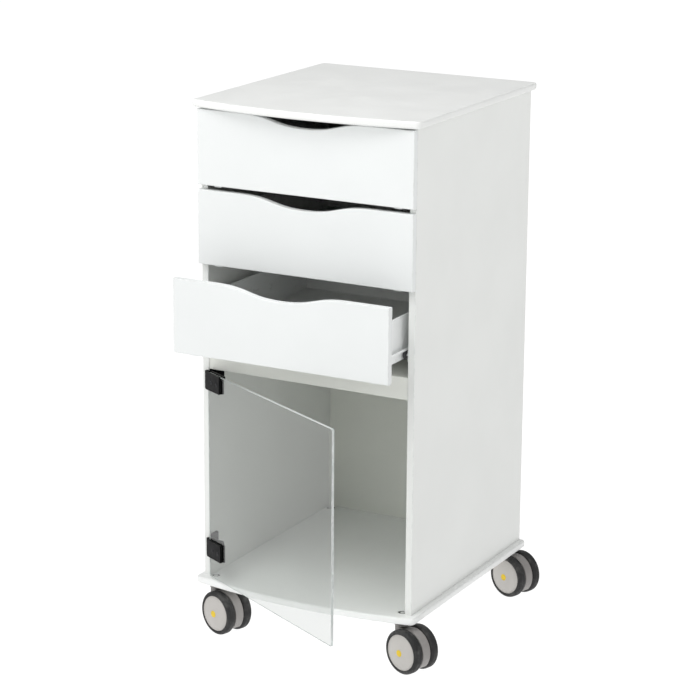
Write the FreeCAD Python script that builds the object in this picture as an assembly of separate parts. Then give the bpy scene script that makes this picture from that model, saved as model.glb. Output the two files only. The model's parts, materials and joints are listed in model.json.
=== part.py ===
# Instrument cart: a white sheet-plastic pedestal on four twin-wheel casters,
# with three scallop-fronted drawers on roller runners over a cupboard that is
# closed by a frameless clear door on two clamp hinges.
#
# Frame: millimetres, +Z up, the front of the cart faces -Y, +X is to the
# right of a person standing in front of it.  The origin is on the floor,
# under the middle of the carcass.

import FreeCAD
import Part
import os

os.makedirs("parts", exist_ok=True)

V = FreeCAD.Vector

# ---------------------------------------------------------------- carcass
BODY_W = 420.0          # over the two side panels
BODY_D = 450.0          # front edge to rear edge of a side panel
SHEET_T = 13.0          # thickness of the carcass sheet
SIDE_H = 858.0          # height of a side panel
SIDE_OVERHANG = 11.0    # worktop and base beyond each side panel
REAR_OVERHANG = 4.5     # worktop and base beyond the rear edges
FRONT_OVERHANG = 13.5   # worktop and base beyond the front, at the corners
FRONT_BOW = 24.0        # extra reach of the bowed front edge at its middle
FRONT_CORNER_R = 11.0   # plan radius of the two front corners
REAR_CORNER_R = 9.0     # plan radius of the two rear corners
BULLNOSE_R = 4.0        # rounding along the worktop and base edges
SIDE_EDGE_R = 1.5       # softened arrises of the side panels
BACK_T = 5.0            # back panel, let into rabbets in the side panels
RABBET_W = 6.0          # width of that rabbet
BACK_PLAY = 0.3         # room left around the back panel
RAIL_H = 40.0           # rail under the lowest drawer
RAIL_SETBACK = 2.0      # rail behind the front edges of the side panels
RAIL_GAP = 12.5         # rail below the lowest drawer front

# ---------------------------------------------------------------- drawers
DRAWERS = 3
FRONT_T = 11.5          # thickness of a drawer front
FRONT_GAP_Y = 0.5       # drawer front clear of the side panel edges
FRONT_H = 132.5         # height of a drawer front
FRONT_GAP_Z = 8.5       # gap between neighbouring fronts
FIRST_GAP = 3.0         # gap under the worktop
FRONT_EDGE_R = 1.5      # softened front arris of a drawer front
SCOOP_DEPTH = 16.5      # finger pull: depth of the scoop in the top edge
SCOOP_HALF = 127.0      # half of the width of that scoop
DRAWER_L = 420.0        # length of a drawer box behind its front
PULLED_OUT = 84.0       # how far the lowest drawer stands open

# drawer runners, measured inwards from the carcass side (depth)
RUN_RISE = 15.5         # bottom of the runner above the bottom of the front
RUN_STEEL = 1.2         # steel gauge
RUN_L = 425.0           # length of the cabinet runner
RUN_SETBACK = 2.0       # cabinet runner behind the side panel's front edge
RUN_TRAY = 9.5          # width of the cabinet runner's lower flange
RUN_LIP = 5.5           # width of its upper lip
RUN_SPACE = 13.2        # room between the carcass side and the drawer side
RUN_LIP_PLAY = 0.6      # upper lip above the rear roller
RUN_FLANGE_IN = 6.5     # drawer flange's outer edge from the carcass side
RUN_FLANGE_UP = 3.0     # turned-up edge of that flange
RUN_PIN_L = 11.4        # roller pin, from the face it is riveted to
RUN_MOUTH = 2.0         # channel starts this far behind the front roller
CABINET_ROLLER_IN = 6.8 # cabinet roller from the carcass side
CABINET_ROLLER_W = 5.2
REAR_ROLLER_SIDE = 1.9  # drawer roller from the carcass side
REAR_ROLLER_W = 4.2
ROLLER_EDGE_R = 0.8
ROLLER_R = 8.35         # runner roller
ROLLER_PLAY = 0.05      # roller clear of the flange it runs on
ROLLER_PIN_R = 2.5
ROLLER_BORE_PLAY = 0.05
FRONT_ROLLER_Y = 12.0   # cabinet roller behind the side panel's front edge
REAR_ROLLER_IN = 11.0   # drawer roller ahead of the rear end of the drawer
WALL_T = 1.2            # folded steel drawer side
WALL_TOP_DROP = 39.0    # top of a drawer side below the top of the front
WALL_FOOT = 2.0         # lower edge of a drawer side above the runner
HEM_W = 4.0             # fold along the top of a drawer side
HEM_H = 4.0
LEDGE_W = 10.0          # inward flange that carries the drawer bottom
BOTTOM_T = 9.0          # drawer bottom board
DRAWER_BACK_T = 12.0    # drawer back board
DRAWER_BACK_DROP = 0.5  # drawer back below the fold
BRACKET_T = 1.5         # bracket that ties a front to a drawer side
BRACKET_W = 14.0
BRACKET_TAB = 4.0       # bracket foot showing below the front
BRACKET_LEG = 26.0
BRACKET_H = 58.0        # bracket top above the runner
BRACKET_PLAY = 0.3      # drawer bottom behind the bracket
BRACKET_LIFT = 1.0      # bracket leg above the drawer bottom

# ---------------------------------------------------------------- door
DOOR_T = 5.0            # clear sheet
DOOR_GAP_Y = 2.0        # back of the door clear of the side panel edges
DOOR_GAP_TOP = 3.0
DOOR_GAP_BOTTOM = 3.0
DOOR_CORNER_R = 3.0
DOOR_ARRIS = 0.5        # polished arris of the clear sheet
DOOR_EDGE_IN = 1.0      # free edge inside the outer face of the side panel
DOOR_OPEN = 28.0        # how far the door stands open, degrees
HINGE_X_IN = 11.5       # hinge pin inside the left outer face
HINGE_PIN_R = 1.75
HINGE_BORE_PLAY = 0.06
KNUCKLE_R = 4.0
KNUCKLE_GAP = 0.4       # between stacked knuckles
CLAMP_STEP = 1.0        # front clamp plate shorter than the back one
CLAMP_TAB_HALF = 1.5    # half thickness of the tab to the knuckles
PIN_PROUD = 0.5         # pin beyond the clamp, top and bottom
CLAMP_LEN = 47.0        # clamp plates along the door
CLAMP_H = 32.0          # height of a clamp
CLAMP_PLATE_T = 4.0     # plate on each face of the door
CLAMP_PLAY = 0.5        # clamp's near end clear of the knuckles
CLAMP_LEAF_PLAY = 2.8   # plate behind the door clear of the leaf
KNUCKLE_ROOM = 2.6      # room cut in the clamp beyond the leaf
GLASS_PLAY = 0.4        # door edge beyond that room
TOP_CLAMP_DROP = -2.0   # top of the upper clamp below the door top
LOW_CLAMP_RISE = 38.0   # bottom of the lower clamp above the door bottom
LEAF_T = 2.5            # leaf on the side panel's inner face
LEAF_L = 28.0           # leaf length behind the front edge
LEAF_START = 1.0        # leaf begins this far behind the front edge
LEAF_CORNER_R = 4.0
STOP_IN = 8.0           # door stop behind the front edge
STOP_L = 25.0           # reach of the stop from the side panel
STOP_SHORT = 5.5        # stop shorter than the clamp at the leaf's free end
STOP_PAST = 0.5         # stop beyond the clamp at the other end
BRIDGE_HALF = 1.5       # half thickness of the web to the middle knuckle
LEAF_LONG = 5.5         # free end of a leaf beyond its clamp
LEAF_SHORT = 0.8        # near end of a leaf beyond its clamp

# ---------------------------------------------------------------- casters
WHEEL_R = 40.0
CASTER_CLEAR = 8.0      # top of the wheels below the base panel
TYRE_FACE = 28.0        # outer face of a tyre from the caster's middle
TYRE_W = 17.5
TYRE_WALL = 7.5         # rubber outside the wheel disc
TYRE_SHOULDER = 3.6     # chamfered shoulders of the tyre
DISC_INSET = 0.4        # rim of the disc inside the tyre's outer face
DISC_DOME = 4.5         # how far the middle of the disc bulges
DISC_RIM = 2.4          # flat rim around the bulge
DISC_EDGE_R = 1.6
TRAIL = 25.0            # axle behind the swivel axis
SWIVEL_REST = 19.0      # the casters stand turned by this much, degrees
STEM_SIDE_IN = 21.5     # swivel axis inside the side panel's outer face
STEM_FRONT_IN = 9.0     # swivel axis behind the front edges
STEM_REAR_IN = 13.5     # swivel axis ahead of the rear edges
STEM_R = 5.0
STEM_PLAY = 0.06
BOLT_HEAD_R = 7.4
BOLT_HEAD_H = 4.5
BOLT_EDGE_R = 1.2
COUNTERBORE_R = 8.0
COUNTERBORE_H = 5.5
BOLT_HOLE_PLAY = 0.25
FLANGE_R = 14.0         # fixed washer plate under the base
FLANGE_T = 3.0
FLANGE_EDGE_R = 1.0
COLLAR_R = 14.0
COLLAR_GAP = 0.35
COLLAR_LIFT = 0.5       # swivel collar above the top of the mudguard
NECK_DROP = 38.0        # underside of the neck below the base panel
FOOT_R = 7.0            # foot that keeps the bolt in the neck
FOOT_H = 3.4
FOOT_DROP = 32.0        # underside of the foot below the base panel
FOOT_PLAY = 0.4
HOOD_HALF_W = 9.0       # mudguard between the wheels
HOOD_IN = 2.5           # mudguard inside the tread
HOOD_FLOOR = 14.0       # mudguard clear of the floor
HOOD_EDGE_R = 1.5       # softened rims of the mudguard and collar
NECK_STEP = 2.0         # neck plate beyond the swivel axis, over the mudguard
AXLE_R = 4.0
AXLE_HALF = 25.0
AXLE_PLAY = 0.06
HUB_INNER = 10.2        # inner face of a wheel disc from the middle
HUB_BOSS_R = 11.0
HUB_RELIEF = 4.0        # depth of the hollow around the boss
HUB_BORE_SPARE = 0.5    # wheel bore deeper than the axle end

# ---------------------------------------------------------------- screws
SCREW_R = 1.9            # base screws, up into the side panels
SCREW_HEAD_R = 3.4
SCREW_HEAD_H = 2.0
BASE_SCREW_L = 38.0
WELL_PLAY = 0.3          # screw head in its well
SCREW_PLAY = 0.05
BACK_SCREW_R = 1.4       # back screws, forward into the side panels
BACK_HEAD_R = 2.8
BACK_HEAD_H = 1.8
BACK_SCREW_L = 20.0

# ---------------------------------------------------------------- derived
BASE_Z = 2.0 * WHEEL_R + CASTER_CLEAR
HOOD_R = WHEEL_R - HOOD_IN
NECK_LOW = BASE_Z - NECK_DROP
FOOT_LOW = BASE_Z - FOOT_DROP
HALF = BODY_W / 2.0
INNER = HALF - SHEET_T
FRONT_Y = -BODY_D / 2.0
REAR_Y = BODY_D / 2.0
BASE_TOP = BASE_Z + SHEET_T
TOP_Z = BASE_TOP + SIDE_H
BACK_Y = REAR_Y - BACK_T
PITCH = FRONT_H + FRONT_GAP_Z
FRONTS_LOW = TOP_Z - FIRST_GAP - DRAWERS * FRONT_H - (DRAWERS - 1) * FRONT_GAP_Z
RAIL_TOP = FRONTS_LOW - RAIL_GAP
RAIL_LOW = RAIL_TOP - RAIL_H
FRONT_BACK_Y = FRONT_Y - FRONT_GAP_Y
LEAF_FAR = SHEET_T - HINGE_X_IN + LEAF_T
CLAMP_START = KNUCKLE_R + CLAMP_PLAY
CLAMP_BACK_START = LEAF_FAR + CLAMP_LEAF_PLAY
KNUCKLE_ROOM_R = LEAF_FAR + KNUCKLE_ROOM
GLASS_START = KNUCKLE_ROOM_R + GLASS_PLAY


def box(x0, x1, y0, y1, z0, z1):
    return Part.makeBox(x1 - x0, y1 - y0, z1 - z0, V(x0, y0, z0))


def rod(x, y, z, radius, length, axis):
    return Part.makeCylinder(radius, length, V(x, y, z), axis)


def mirrored(shape):
    return shape.mirror(V(0, 0, 0), V(1, 0, 0))


def group(shapes):
    return Part.makeCompound(shapes)


def save(name, shape):
    shape.exportStep("parts/" + name + ".step")


def upright_edges(shape, x_test, y_test):
    picked = []
    for edge in shape.Edges:
        low = edge.BoundBox
        if low.ZLength < 1.0 or low.XLength > 0.01 or low.YLength > 0.01:
            continue
        if x_test(low.XMin) and y_test(low.YMin):
            picked.append(edge)
    return picked


# ------------------------------------------------------------ bowed panels
def bowed_panel(z0):
    x = HALF + SIDE_OVERHANG
    y_front = FRONT_Y - FRONT_OVERHANG
    y_rear = REAR_Y + REAR_OVERHANG
    bow = Part.Arc(V(-x, y_front, z0), V(0, y_front - FRONT_BOW, z0), V(x, y_front, z0)).toShape()
    right = Part.makeLine(V(x, y_front, z0), V(x, y_rear, z0))
    rear = Part.makeLine(V(x, y_rear, z0), V(-x, y_rear, z0))
    left = Part.makeLine(V(-x, y_rear, z0), V(-x, y_front, z0))
    plate = Part.Face(Part.Wire([bow, right, rear, left])).extrude(V(0, 0, SHEET_T))
    front_corners = upright_edges(plate, lambda v: True, lambda v: v < 0)
    plate = plate.makeFillet(FRONT_CORNER_R, front_corners)
    rear_corners = upright_edges(plate, lambda v: True, lambda v: v > y_rear - 0.5)
    plate = plate.makeFillet(REAR_CORNER_R, rear_corners)
    rims = [e for e in plate.Edges if e.BoundBox.ZLength < 0.01]
    return plate.makeFillet(BULLNOSE_R, rims)


STEMS = {
    "front_left": (-(HALF - STEM_SIDE_IN), FRONT_Y + STEM_FRONT_IN),
    "front_right": (HALF - STEM_SIDE_IN, FRONT_Y + STEM_FRONT_IN),
    "rear_left": (-(HALF - STEM_SIDE_IN), REAR_Y - STEM_REAR_IN),
    "rear_right": (HALF - STEM_SIDE_IN, REAR_Y - STEM_REAR_IN),
}

top_panel = bowed_panel(TOP_Z)
base_panel = bowed_panel(BASE_Z)
for stem_x, stem_y in STEMS.values():
    hole = rod(stem_x, stem_y, BASE_Z - 1, STEM_R + BOLT_HOLE_PLAY, SHEET_T + 2, V(0, 0, 1))
    seat = rod(stem_x, stem_y, BASE_TOP - COUNTERBORE_H, COUNTERBORE_R, COUNTERBORE_H + 1, V(0, 0, 1))
    base_panel = base_panel.cut(hole).cut(seat)


# ------------------------------------------------------------ side panels
def side_panel():
    panel = box(INNER, HALF, FRONT_Y, REAR_Y, BASE_TOP, TOP_Z)
    outer = upright_edges(panel, lambda v: True, lambda v: v < 0)
    outer += upright_edges(panel, lambda v: v > HALF - 1, lambda v: v > 0)
    panel = panel.makeFillet(SIDE_EDGE_R, outer)
    rabbet = box(INNER - 1, INNER + RABBET_W, BACK_Y, REAR_Y + 1, BASE_TOP - 1, TOP_Z + 1)
    return panel.cut(rabbet)


side_right = side_panel()
side_left = mirrored(side_right)

back_half = INNER + RABBET_W - BACK_PLAY
back_panel = box(-back_half, back_half, BACK_Y, REAR_Y, BASE_TOP, TOP_Z)
divider_rail = box(-INNER, INNER, FRONT_Y + RAIL_SETBACK, FRONT_Y + RAIL_SETBACK + SHEET_T, RAIL_LOW, RAIL_TOP)
rail_front = [
    e for e in divider_rail.Edges
    if e.BoundBox.YMax < FRONT_Y + RAIL_SETBACK + 0.01 and e.BoundBox.XLength > 1
]
divider_rail = divider_rail.makeFillet(SIDE_EDGE_R, rail_front)
divider_panel = box(-INNER, INNER, FRONT_Y + RAIL_SETBACK + SHEET_T, BACK_Y, RAIL_TOP - SHEET_T, RAIL_TOP)

# Base screws go up into the side panels, back screws go forward into them.
screws = []
screw_x = HALF - SHEET_T / 2.0
BASE_SCREWS = 3
for sign in (-1, 1):
    for i in range(BASE_SCREWS):
        y = FRONT_Y + BODY_D * (i + 0.75) / (BASE_SCREWS + 0.5)
        head_z = BASE_Z + SCREW_HEAD_H
        head = rod(sign * screw_x, y, BASE_Z, SCREW_HEAD_R, SCREW_HEAD_H, V(0, 0, 1))
        shank = rod(sign * screw_x, y, head_z, SCREW_R, BASE_SCREW_L, V(0, 0, 1))
        screws.append(head.fuse(shank))
        well = rod(sign * screw_x, y, BASE_Z - 1, SCREW_HEAD_R + WELL_PLAY, SCREW_HEAD_H + 1, V(0, 0, 1))
        path_l = 1 + SCREW_HEAD_H + BASE_SCREW_L
        path = rod(sign * screw_x, y, BASE_Z - 1, SCREW_R + SCREW_PLAY, path_l, V(0, 0, 1))
        base_panel = base_panel.cut(well).cut(path)
        if sign > 0:
            side_right = side_right.cut(path)
        else:
            side_left = side_left.cut(path)

BACK_SCREWS = 5
back_screw_x = INNER + RABBET_W / 2.0
for sign in (-1, 1):
    for i in range(BACK_SCREWS):
        z = BASE_TOP + SIDE_H * (i + 0.5) / BACK_SCREWS
        head = rod(sign * back_screw_x, REAR_Y, z, BACK_HEAD_R, BACK_HEAD_H, V(0, 1, 0))
        shank = rod(sign * back_screw_x, REAR_Y, z, BACK_SCREW_R, BACK_SCREW_L, V(0, -1, 0))
        screws.append(head.fuse(shank))
        path = rod(sign * back_screw_x, REAR_Y + 1, z, BACK_SCREW_R + SCREW_PLAY, BACK_SCREW_L + 2, V(0, -1, 0))
        back_panel = back_panel.cut(path)
        if sign > 0:
            side_right = side_right.cut(path)
        else:
            side_left = side_left.cut(path)

save("top_panel", top_panel)
save("base_panel", base_panel)
save("side_panel_left", side_left)
save("side_panel_right", side_right)
save("back_panel", back_panel)
save("divider_panel", divider_panel)
save("divider_rail", divider_rail)
save("carcass_screws", group(screws))


# ------------------------------------------------------------ drawers
def scooped_front(z0):
    z1 = z0 + FRONT_H
    y0 = FRONT_BACK_Y - FRONT_T
    low_l = V(-HALF, y0, z0)
    low_r = V(HALF, y0, z0)
    high_r = V(HALF, y0, z1)
    high_l = V(-HALF, y0, z1)
    scoop_r = V(SCOOP_HALF, y0, z1)
    scoop_l = V(-SCOOP_HALF, y0, z1)
    middle = V(0, y0, z1 - SCOOP_DEPTH)
    right_curve = Part.BezierCurve()
    right_curve.setPoles([scoop_r, V(SCOOP_HALF / 2, y0, z1), V(SCOOP_HALF / 2, y0, z1 - SCOOP_DEPTH), middle])
    left_curve = Part.BezierCurve()
    left_curve.setPoles([middle, V(-SCOOP_HALF / 2, y0, z1 - SCOOP_DEPTH), V(-SCOOP_HALF / 2, y0, z1), scoop_l])
    edges = [
        Part.makeLine(low_l, low_r),
        Part.makeLine(low_r, high_r),
        Part.makeLine(high_r, scoop_r),
        right_curve.toShape(),
        left_curve.toShape(),
        Part.makeLine(scoop_l, high_l),
        Part.makeLine(high_l, low_l),
    ]
    panel = Part.Face(Part.Wire(edges)).extrude(V(0, FRONT_T, 0))
    rim = [e for e in panel.Edges if e.BoundBox.YMax < y0 + 0.01]
    return panel.makeFillet(FRONT_EDGE_R, rim)


def drawer_wall(z0, roll_z):
    z1 = z0 + FRONT_H - WALL_TOP_DROP
    run_z = z0 + RUN_RISE
    rear = FRONT_BACK_Y + DRAWER_L
    face = INNER - RUN_SPACE
    skin = face - WALL_T
    flange_low = roll_z + ROLLER_R + ROLLER_PLAY
    flange_edge = INNER - RUN_FLANGE_IN
    ledge_y = FRONT_BACK_Y + BRACKET_T + BRACKET_PLAY
    ledge_z = run_z + WALL_FOOT
    wall = box(skin, face, FRONT_BACK_Y, rear, run_z + WALL_FOOT, z1)
    hem = box(face - HEM_W, skin, FRONT_BACK_Y, rear, z1 - HEM_H, z1)
    hem = hem.cut(box(face - HEM_W + WALL_T, skin, FRONT_BACK_Y - 1, rear + 1, z1 - HEM_H - 1, z1 - WALL_T))
    ledge = box(skin - LEDGE_W, skin, ledge_y, rear, ledge_z, ledge_z + WALL_T)
    flange = box(face, flange_edge, FRONT_BACK_Y, rear, flange_low, flange_low + RUN_STEEL)
    lip_low = flange_low + RUN_STEEL
    lip = box(flange_edge - RUN_STEEL, flange_edge, FRONT_BACK_Y, rear, lip_low, lip_low + RUN_FLANGE_UP)
    pin = rod(face, rear - REAR_ROLLER_IN, roll_z, ROLLER_PIN_R, RUN_PIN_L, V(1, 0, 0))
    profile = wall.fuse([hem, ledge, flange, lip, pin])
    return profile.removeSplitter()


def roller(inner_depth, width, y, roll_z):
    wheel = rod(INNER - inner_depth - width, y, roll_z, ROLLER_R, width, V(1, 0, 0))
    wheel = wheel.makeFillet(ROLLER_EDGE_R, [e for e in wheel.Edges if e.BoundBox.XLength < 0.01])
    bore = rod(INNER - inner_depth - width - 1, y, roll_z, ROLLER_PIN_R + ROLLER_BORE_PLAY, width + 2, V(1, 0, 0))
    return wheel.cut(bore)


def cabinet_runner(run_z, roll_z):
    y0 = FRONT_Y + RUN_SETBACK
    y1 = y0 + RUN_L
    channel_y = FRONT_Y + FRONT_ROLLER_Y + ROLLER_R + RUN_MOUTH
    lip_low = roll_z + ROLLER_R + RUN_LIP_PLAY
    web = box(INNER - RUN_STEEL, INNER, y0, y1, run_z, lip_low + RUN_STEEL)
    tray = box(INNER - RUN_TRAY, INNER - RUN_STEEL, channel_y, y1, run_z, run_z + RUN_STEEL)
    lip = box(INNER - RUN_LIP, INNER - RUN_STEEL, channel_y, y1, lip_low, lip_low + RUN_STEEL)
    stop = box(INNER - RUN_LIP, INNER - RUN_STEEL, y1 - RUN_STEEL, y1, run_z + RUN_STEEL, lip_low)
    pin = rod(INNER - RUN_STEEL, FRONT_Y + FRONT_ROLLER_Y, roll_z, ROLLER_PIN_R, RUN_PIN_L, V(-1, 0, 0))
    return web.fuse([tray, lip, stop, pin]).removeSplitter()


def front_bracket(z0):
    skin = INNER - RUN_SPACE - WALL_T
    plate_top = z0 + RUN_RISE + BRACKET_H
    plate = box(skin - BRACKET_W, skin, FRONT_BACK_Y, FRONT_BACK_Y + BRACKET_T, z0 - BRACKET_TAB, plate_top)
    leg_low = z0 + RUN_RISE + WALL_FOOT + WALL_T + BOTTOM_T + BRACKET_LIFT
    leg = box(skin - BRACKET_T, skin, FRONT_BACK_Y + BRACKET_T, FRONT_BACK_Y + BRACKET_LEG, leg_low, plate_top)
    return plate.fuse(leg).removeSplitter()


runners_right = []
for index in range(DRAWERS):
    number = index + 1
    z0 = TOP_Z - FIRST_GAP - FRONT_H - index * PITCH
    run_z = z0 + RUN_RISE
    roll_z = run_z + RUN_STEEL + ROLLER_PLAY + ROLLER_R
    rear = FRONT_BACK_Y + DRAWER_L
    skin = INNER - RUN_SPACE - WALL_T
    floor_low = run_z + WALL_FOOT + WALL_T
    out = V(0, 0, 0)
    if number == DRAWERS:
        out = V(0, -PULLED_OUT, 0)
    front = scooped_front(z0)
    wall_right = drawer_wall(z0, roll_z)
    bottom_y = FRONT_BACK_Y + BRACKET_T + BRACKET_PLAY
    bottom = box(-skin, skin, bottom_y, rear, floor_low, floor_low + BOTTOM_T)
    back_top = z0 + FRONT_H - WALL_TOP_DROP - HEM_H - DRAWER_BACK_DROP
    back = box(-skin, skin, rear - DRAWER_BACK_T, rear, floor_low + BOTTOM_T, back_top)
    bracket = front_bracket(z0)
    rear_roller = roller(REAR_ROLLER_SIDE, REAR_ROLLER_W, rear - REAR_ROLLER_IN, roll_z)
    front_roller = roller(CABINET_ROLLER_IN, CABINET_ROLLER_W, FRONT_Y + FRONT_ROLLER_Y, roll_z)
    runners_right.append(cabinet_runner(run_z, roll_z))
    name = "drawer_" + str(number)
    save(name + "_front", front.translated(out))
    save(name + "_side_right", wall_right.translated(out))
    save(name + "_side_left", mirrored(wall_right).translated(out))
    save(name + "_bottom", bottom.translated(out))
    save(name + "_back", back.translated(out))
    save(name + "_front_brackets", group([bracket, mirrored(bracket)]).translated(out))
    save(name + "_rear_rollers", group([rear_roller, mirrored(rear_roller)]).translated(out))
    save(name + "_cabinet_rollers", group([front_roller, mirrored(front_roller)]))

save("cabinet_runners_right", group(runners_right))
save("cabinet_runners_left", group([mirrored(r) for r in runners_right]))

# ------------------------------------------------------------ door
pin_x = -HALF + HINGE_X_IN
glass_back = FRONT_Y - DOOR_GAP_Y
glass_front = glass_back - DOOR_T
pin_y = (glass_back + glass_front) / 2.0
door_low = BASE_TOP + DOOR_GAP_BOTTOM
door_high = RAIL_LOW - DOOR_GAP_TOP
swing = FreeCAD.Rotation(V(0, 0, 1), -DOOR_OPEN)
opened = FreeCAD.Placement(V(0, 0, 0), swing, V(pin_x, pin_y, 0))


def swung(shape):
    turned = shape.copy()
    turned.Placement = opened.multiply(turned.Placement)
    return turned


glass = box(pin_x + GLASS_START, HALF - DOOR_EDGE_IN, glass_front, glass_back, door_low, door_high)
glass = glass.makeFillet(DOOR_CORNER_R, [
    e for e in glass.Edges
    if e.BoundBox.YLength > DOOR_T - 0.1 and e.BoundBox.XMin > 0
])
glass = glass.makeChamfer(DOOR_ARRIS, [e for e in glass.Edges if e.BoundBox.YLength < 0.01])


# A clamp straddles the door edge; its outer thirds carry the knuckles and
# the leaf on the carcass carries the middle one.
def hinge_clamp(z0):
    x0 = pin_x + CLAMP_START
    x1 = x0 + CLAMP_LEN
    plate_front = box(x0, x1 - CLAMP_STEP, glass_front - CLAMP_PLATE_T, glass_front, z0, z0 + CLAMP_H)
    plate_back = box(pin_x + CLAMP_BACK_START, x1, glass_back, glass_back + CLAMP_PLATE_T, z0, z0 + CLAMP_H)
    spine = box(x0, pin_x + GLASS_START, glass_front, glass_back, z0, z0 + CLAMP_H)
    tab = box(pin_x, x0, pin_y - CLAMP_TAB_HALF, pin_y + CLAMP_TAB_HALF, z0, z0 + CLAMP_H)
    barrel = rod(pin_x, pin_y, z0, KNUCKLE_R, CLAMP_H, V(0, 0, 1))
    body = plate_front.fuse([plate_back, spine, tab, barrel])
    room_low = z0 + CLAMP_H / 3.0
    room_h = CLAMP_H / 3.0
    room = rod(pin_x, pin_y, room_low, KNUCKLE_ROOM_R, room_h, V(0, 0, 1))
    bore = rod(pin_x, pin_y, z0 - 1, HINGE_PIN_R + HINGE_BORE_PLAY, CLAMP_H + 2, V(0, 0, 1))
    return body.cut(room).cut(bore).removeSplitter()


# The leaf on the side panel is an angle: its short leg is the door's stop.
def hinge_leaf(z0, free_end_up):
    low = z0 - (LEAF_SHORT if free_end_up else LEAF_LONG)
    high = z0 + CLAMP_H + (LEAF_LONG if free_end_up else LEAF_SHORT)
    stop_low = z0 + (-STOP_PAST if free_end_up else STOP_SHORT)
    stop_high = z0 + CLAMP_H + (-STOP_SHORT if free_end_up else STOP_PAST)
    leaf_face = -INNER + LEAF_T
    leaf = box(-INNER, leaf_face, FRONT_Y + LEAF_START, FRONT_Y + LEAF_L, low, high)
    leaf = leaf.makeFillet(LEAF_CORNER_R, [
        e for e in leaf.Edges
        if e.BoundBox.XLength > LEAF_T - 0.1 and e.BoundBox.YMin > FRONT_Y + 2
    ])
    stop_y = FRONT_Y + STOP_IN
    stop_x = STOP_L - INNER
    stop = box(-INNER, stop_x, stop_y, stop_y + LEAF_T, stop_low, stop_high)
    stop = stop.makeFillet(LEAF_CORNER_R, [
        e for e in stop.Edges
        if e.BoundBox.YLength > LEAF_T - 0.1 and e.BoundBox.XMin > stop_x - 0.1
    ])
    arm_low = z0 + CLAMP_H / 3.0 + KNUCKLE_GAP
    arm_h = CLAMP_H / 3.0 - 2 * KNUCKLE_GAP
    reach = box(-INNER, leaf_face, pin_y, FRONT_Y + LEAF_START, arm_low, arm_low + arm_h)
    bridge = box(pin_x, leaf_face, pin_y - BRIDGE_HALF, pin_y + BRIDGE_HALF, arm_low, arm_low + arm_h)
    barrel = rod(pin_x, pin_y, arm_low, KNUCKLE_R, arm_h, V(0, 0, 1))
    pin = rod(pin_x, pin_y, z0 - PIN_PROUD, HINGE_PIN_R, CLAMP_H + 2 * PIN_PROUD, V(0, 0, 1))
    return leaf.fuse([stop, reach, bridge, barrel, pin]).removeSplitter()


top_clamp_z = door_high - TOP_CLAMP_DROP - CLAMP_H
low_clamp_z = door_low + LOW_CLAMP_RISE
save("door_glass", swung(glass))
save("hinge_clamp_top", swung(hinge_clamp(top_clamp_z)))
save("hinge_clamp_bottom", swung(hinge_clamp(low_clamp_z)))
upper_leaf = hinge_leaf(top_clamp_z, False)
lower_leaf = hinge_leaf(low_clamp_z, True)
save("hinge_leaves", group([upper_leaf, lower_leaf]))


# ------------------------------------------------------------ casters
def placed(shape, stem_x, stem_y):
    turned = shape.copy()
    turned.rotate(V(0, 0, 0), V(0, 0, 1), -SWIVEL_REST)
    turned.translate(V(stem_x, stem_y, 0))
    return turned


FLANGE_LOW = BASE_Z - FLANGE_T
COLLAR_TOP = FLANGE_LOW - COLLAR_GAP
COLLAR_LOW = WHEEL_R + HOOD_R + COLLAR_LIFT


def caster_bolt(stem_x, stem_y):
    head = rod(stem_x, stem_y, BASE_TOP - COUNTERBORE_H, BOLT_HEAD_R, BOLT_HEAD_H, V(0, 0, 1))
    head = head.makeFillet(BOLT_EDGE_R, [e for e in head.Edges if e.BoundBox.ZMin > BASE_TOP - COUNTERBORE_H + 1])
    shank = rod(stem_x, stem_y, FOOT_LOW, STEM_R, BASE_TOP - COUNTERBORE_H - FOOT_LOW, V(0, 0, 1))
    foot = rod(stem_x, stem_y, FOOT_LOW, FOOT_R, FOOT_H, V(0, 0, 1))
    plate = rod(stem_x, stem_y, FLANGE_LOW, FLANGE_R, FLANGE_T, V(0, 0, 1))
    plate = plate.makeFillet(FLANGE_EDGE_R, [e for e in plate.Edges if e.BoundBox.ZMax < FLANGE_LOW + 0.1])
    return head.fuse([shank, foot, plate]).removeSplitter()


def caster_yoke():
    hood = rod(TRAIL, -HOOD_HALF_W, WHEEL_R, HOOD_R, 2 * HOOD_HALF_W, V(0, 1, 0))
    hood = hood.makeFillet(HOOD_EDGE_R, [e for e in hood.Edges if e.BoundBox.YLength < 0.01])
    reach = HOOD_R + 1
    below = box(TRAIL - reach, TRAIL + reach, -HOOD_HALF_W - 1, HOOD_HALF_W + 1, WHEEL_R - reach, HOOD_FLOOR)
    hood = hood.cut(below)
    neck = box(-HOOD_HALF_W, TRAIL, -HOOD_HALF_W, HOOD_HALF_W, NECK_LOW, COLLAR_LOW)
    step_low = WHEEL_R + HOOD_R - NECK_STEP
    neck = neck.cut(box(NECK_STEP, TRAIL + 1, -HOOD_HALF_W - 1, HOOD_HALF_W + 1, step_low, COLLAR_LOW + 1))
    collar = rod(0, 0, COLLAR_LOW, COLLAR_R, COLLAR_TOP - COLLAR_LOW, V(0, 0, 1))
    collar = collar.makeFillet(HOOD_EDGE_R, [e for e in collar.Edges if e.BoundBox.ZMax < COLLAR_LOW + 0.1])
    axle = rod(TRAIL, -AXLE_HALF, WHEEL_R, AXLE_R, 2 * AXLE_HALF, V(0, 1, 0))
    body = hood.fuse([neck, collar, axle])
    bore = rod(0, 0, FOOT_LOW, STEM_R + STEM_PLAY, COLLAR_TOP - FOOT_LOW + 1, V(0, 0, 1))
    pocket = rod(0, 0, FOOT_LOW - FOOT_PLAY, FOOT_R + FOOT_PLAY, FOOT_H + 2 * FOOT_PLAY, V(0, 0, 1))
    return body.cut(bore).cut(pocket).removeSplitter()


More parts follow.
